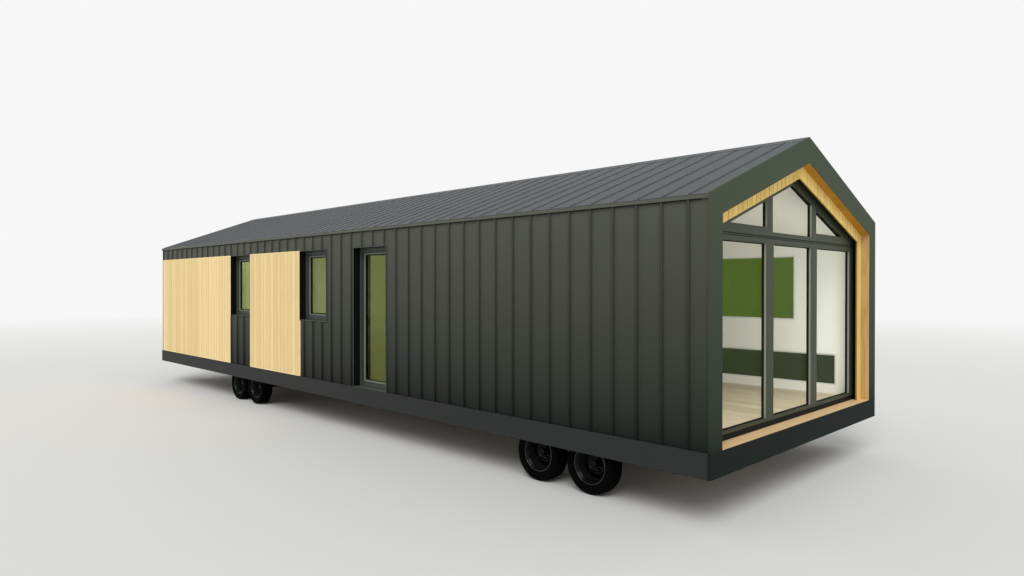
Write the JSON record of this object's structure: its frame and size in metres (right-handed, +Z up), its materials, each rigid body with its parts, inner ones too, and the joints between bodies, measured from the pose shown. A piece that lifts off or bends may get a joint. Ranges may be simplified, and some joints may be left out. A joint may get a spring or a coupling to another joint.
{
  "type": "tiny house on wheels",
  "caption": "Long gabled tiny house on wheels with standing-seam metal cladding, timber panels, an inward-opening glazed door and a fully glazed gable end.",
  "frame": {"origin": "on the ground below the middle of the house", "axes": "+X along the house to the glazed gable, -Y to the side with the door, +Z up"},
  "size_m": [14, 4.4, 3.905],
  "materials": {
    "running_gear": "satin black steel",
    "skirt_metal": "matt anthracite sheet",
    "floor_board": "sealed board",
    "oak": "light oiled oak",
    "wall_white": "matt white lining",
    "roof_metal": "matt grey standing seam sheet",
    "edge_metal": "matt anthracite sheet",
    "wall_metal": "matt anthracite standing seam sheet",
    "timber": "pale oiled boards",
    "portal_metal": "matt anthracite sheet",
    "larch": "oiled larch",
    "return_metal": "matt black sheet",
    "frame_metal": "satin anthracite aluminium",
    "glass": "clear double glazing",
    "handle": "brushed",
    "tyre": "black rubber",
    "rim": "gloss black"
  },
  "bodies": {
    "house": {"chassis": "running_gear", "cross_beams": "running_gear", "axles": "running_gear", "leaf_springs": "running_gear", "skirt": "skirt_metal", "floor_panel": "floor_board", "oak_floor": "oak", "front_wall_left": "wall_white", "front_wall_right": "wall_white", "front_wall_over_door": "wall_white", "back_wall": "wall_white", "end_wall": "wall_white", "roof_panel_front": "wall_white", "roof_panel_back": "wall_white", "roof_sheet_front": "roof_metal", "roof_sheet_back": "roof_metal", "ridge_cap": "roof_metal", "roof_edges": "edge_metal", "front_cladding": "wall_metal", "back_cladding": "wall_metal", "end_cladding": "wall_metal", "timber_panels": "timber", "portal_frame": "portal_metal", "portal_lining": "larch", "gable_boards": "larch", "gable_return": "return_metal", "screen_frame": "frame_metal", "screen_glass": "glass", "opening_sleeves": "frame_metal", "window_frames": "frame_metal", "window_sashes": "frame_metal", "window_glass": "glass", "window_handles": "handle", "door_frame": "frame_metal", "door_hinges": "handle"},
    "door": {"door_leaf": "frame_metal", "door_glass": "glass", "door_handle": "handle"},
    "wheel_front_1": {"tyre_f1": "tyre", "rim_f1": "rim"},
    "wheel_front_2": {"tyre_f2": "tyre", "rim_f2": "rim"},
    "wheel_front_3": {"tyre_f3": "tyre", "rim_f3": "rim"},
    "wheel_front_4": {"tyre_f4": "tyre", "rim_f4": "rim"},
    "wheel_back_1": {"tyre_b1": "tyre", "rim_b1": "rim"},
    "wheel_back_2": {"tyre_b2": "tyre", "rim_b2": "rim"},
    "wheel_back_3": {"tyre_b3": "tyre", "rim_b3": "rim"},
    "wheel_back_4": {"tyre_b4": "tyre", "rim_b4": "rim"}
  },
  "joints": [
    {"name": "door_swing", "type": "hinge", "parent": "house", "child": "door", "pos_m": [1.91, -2.006, 1.76], "axis": [0, 0, -1], "range_deg": [0, 90]},
    {"name": "wheel_spin_front_1", "type": "hinge", "parent": "house", "child": "wheel_front_1", "pos_m": [5.484, -1.9415, 0.317], "axis": [0, 1, 0], "continuous": true},
    {"name": "wheel_spin_front_2", "type": "hinge", "parent": "house", "child": "wheel_front_2", "pos_m": [4.734, -1.9415, 0.317], "axis": [0, 1, 0], "continuous": true},
    {"name": "wheel_spin_front_3", "type": "hinge", "parent": "house", "child": "wheel_front_3", "pos_m": [-2.496, -1.9415, 0.317], "axis": [0, 1, 0], "continuous": true},
    {"name": "wheel_spin_front_4", "type": "hinge", "parent": "house", "child": "wheel_front_4", "pos_m": [-3.246, -1.9415, 0.317], "axis": [0, 1, 0], "continuous": true},
    {"name": "wheel_spin_back_1", "type": "hinge", "parent": "house", "child": "wheel_back_1", "pos_m": [5.484, 1.9415, 0.317], "axis": [0, 1, 0], "continuous": true},
    {"name": "wheel_spin_back_2", "type": "hinge", "parent": "house", "child": "wheel_back_2", "pos_m": [4.734, 1.9415, 0.317], "axis": [0, 1, 0], "continuous": true},
    {"name": "wheel_spin_back_3", "type": "hinge", "parent": "house", "child": "wheel_back_3", "pos_m": [-2.496, 1.9415, 0.317], "axis": [0, 1, 0], "continuous": true},
    {"name": "wheel_spin_back_4", "type": "hinge", "parent": "house", "child": "wheel_back_4", "pos_m": [-3.246, 1.9415, 0.317], "axis": [0, 1, 0], "continuous": true}
  ]
}
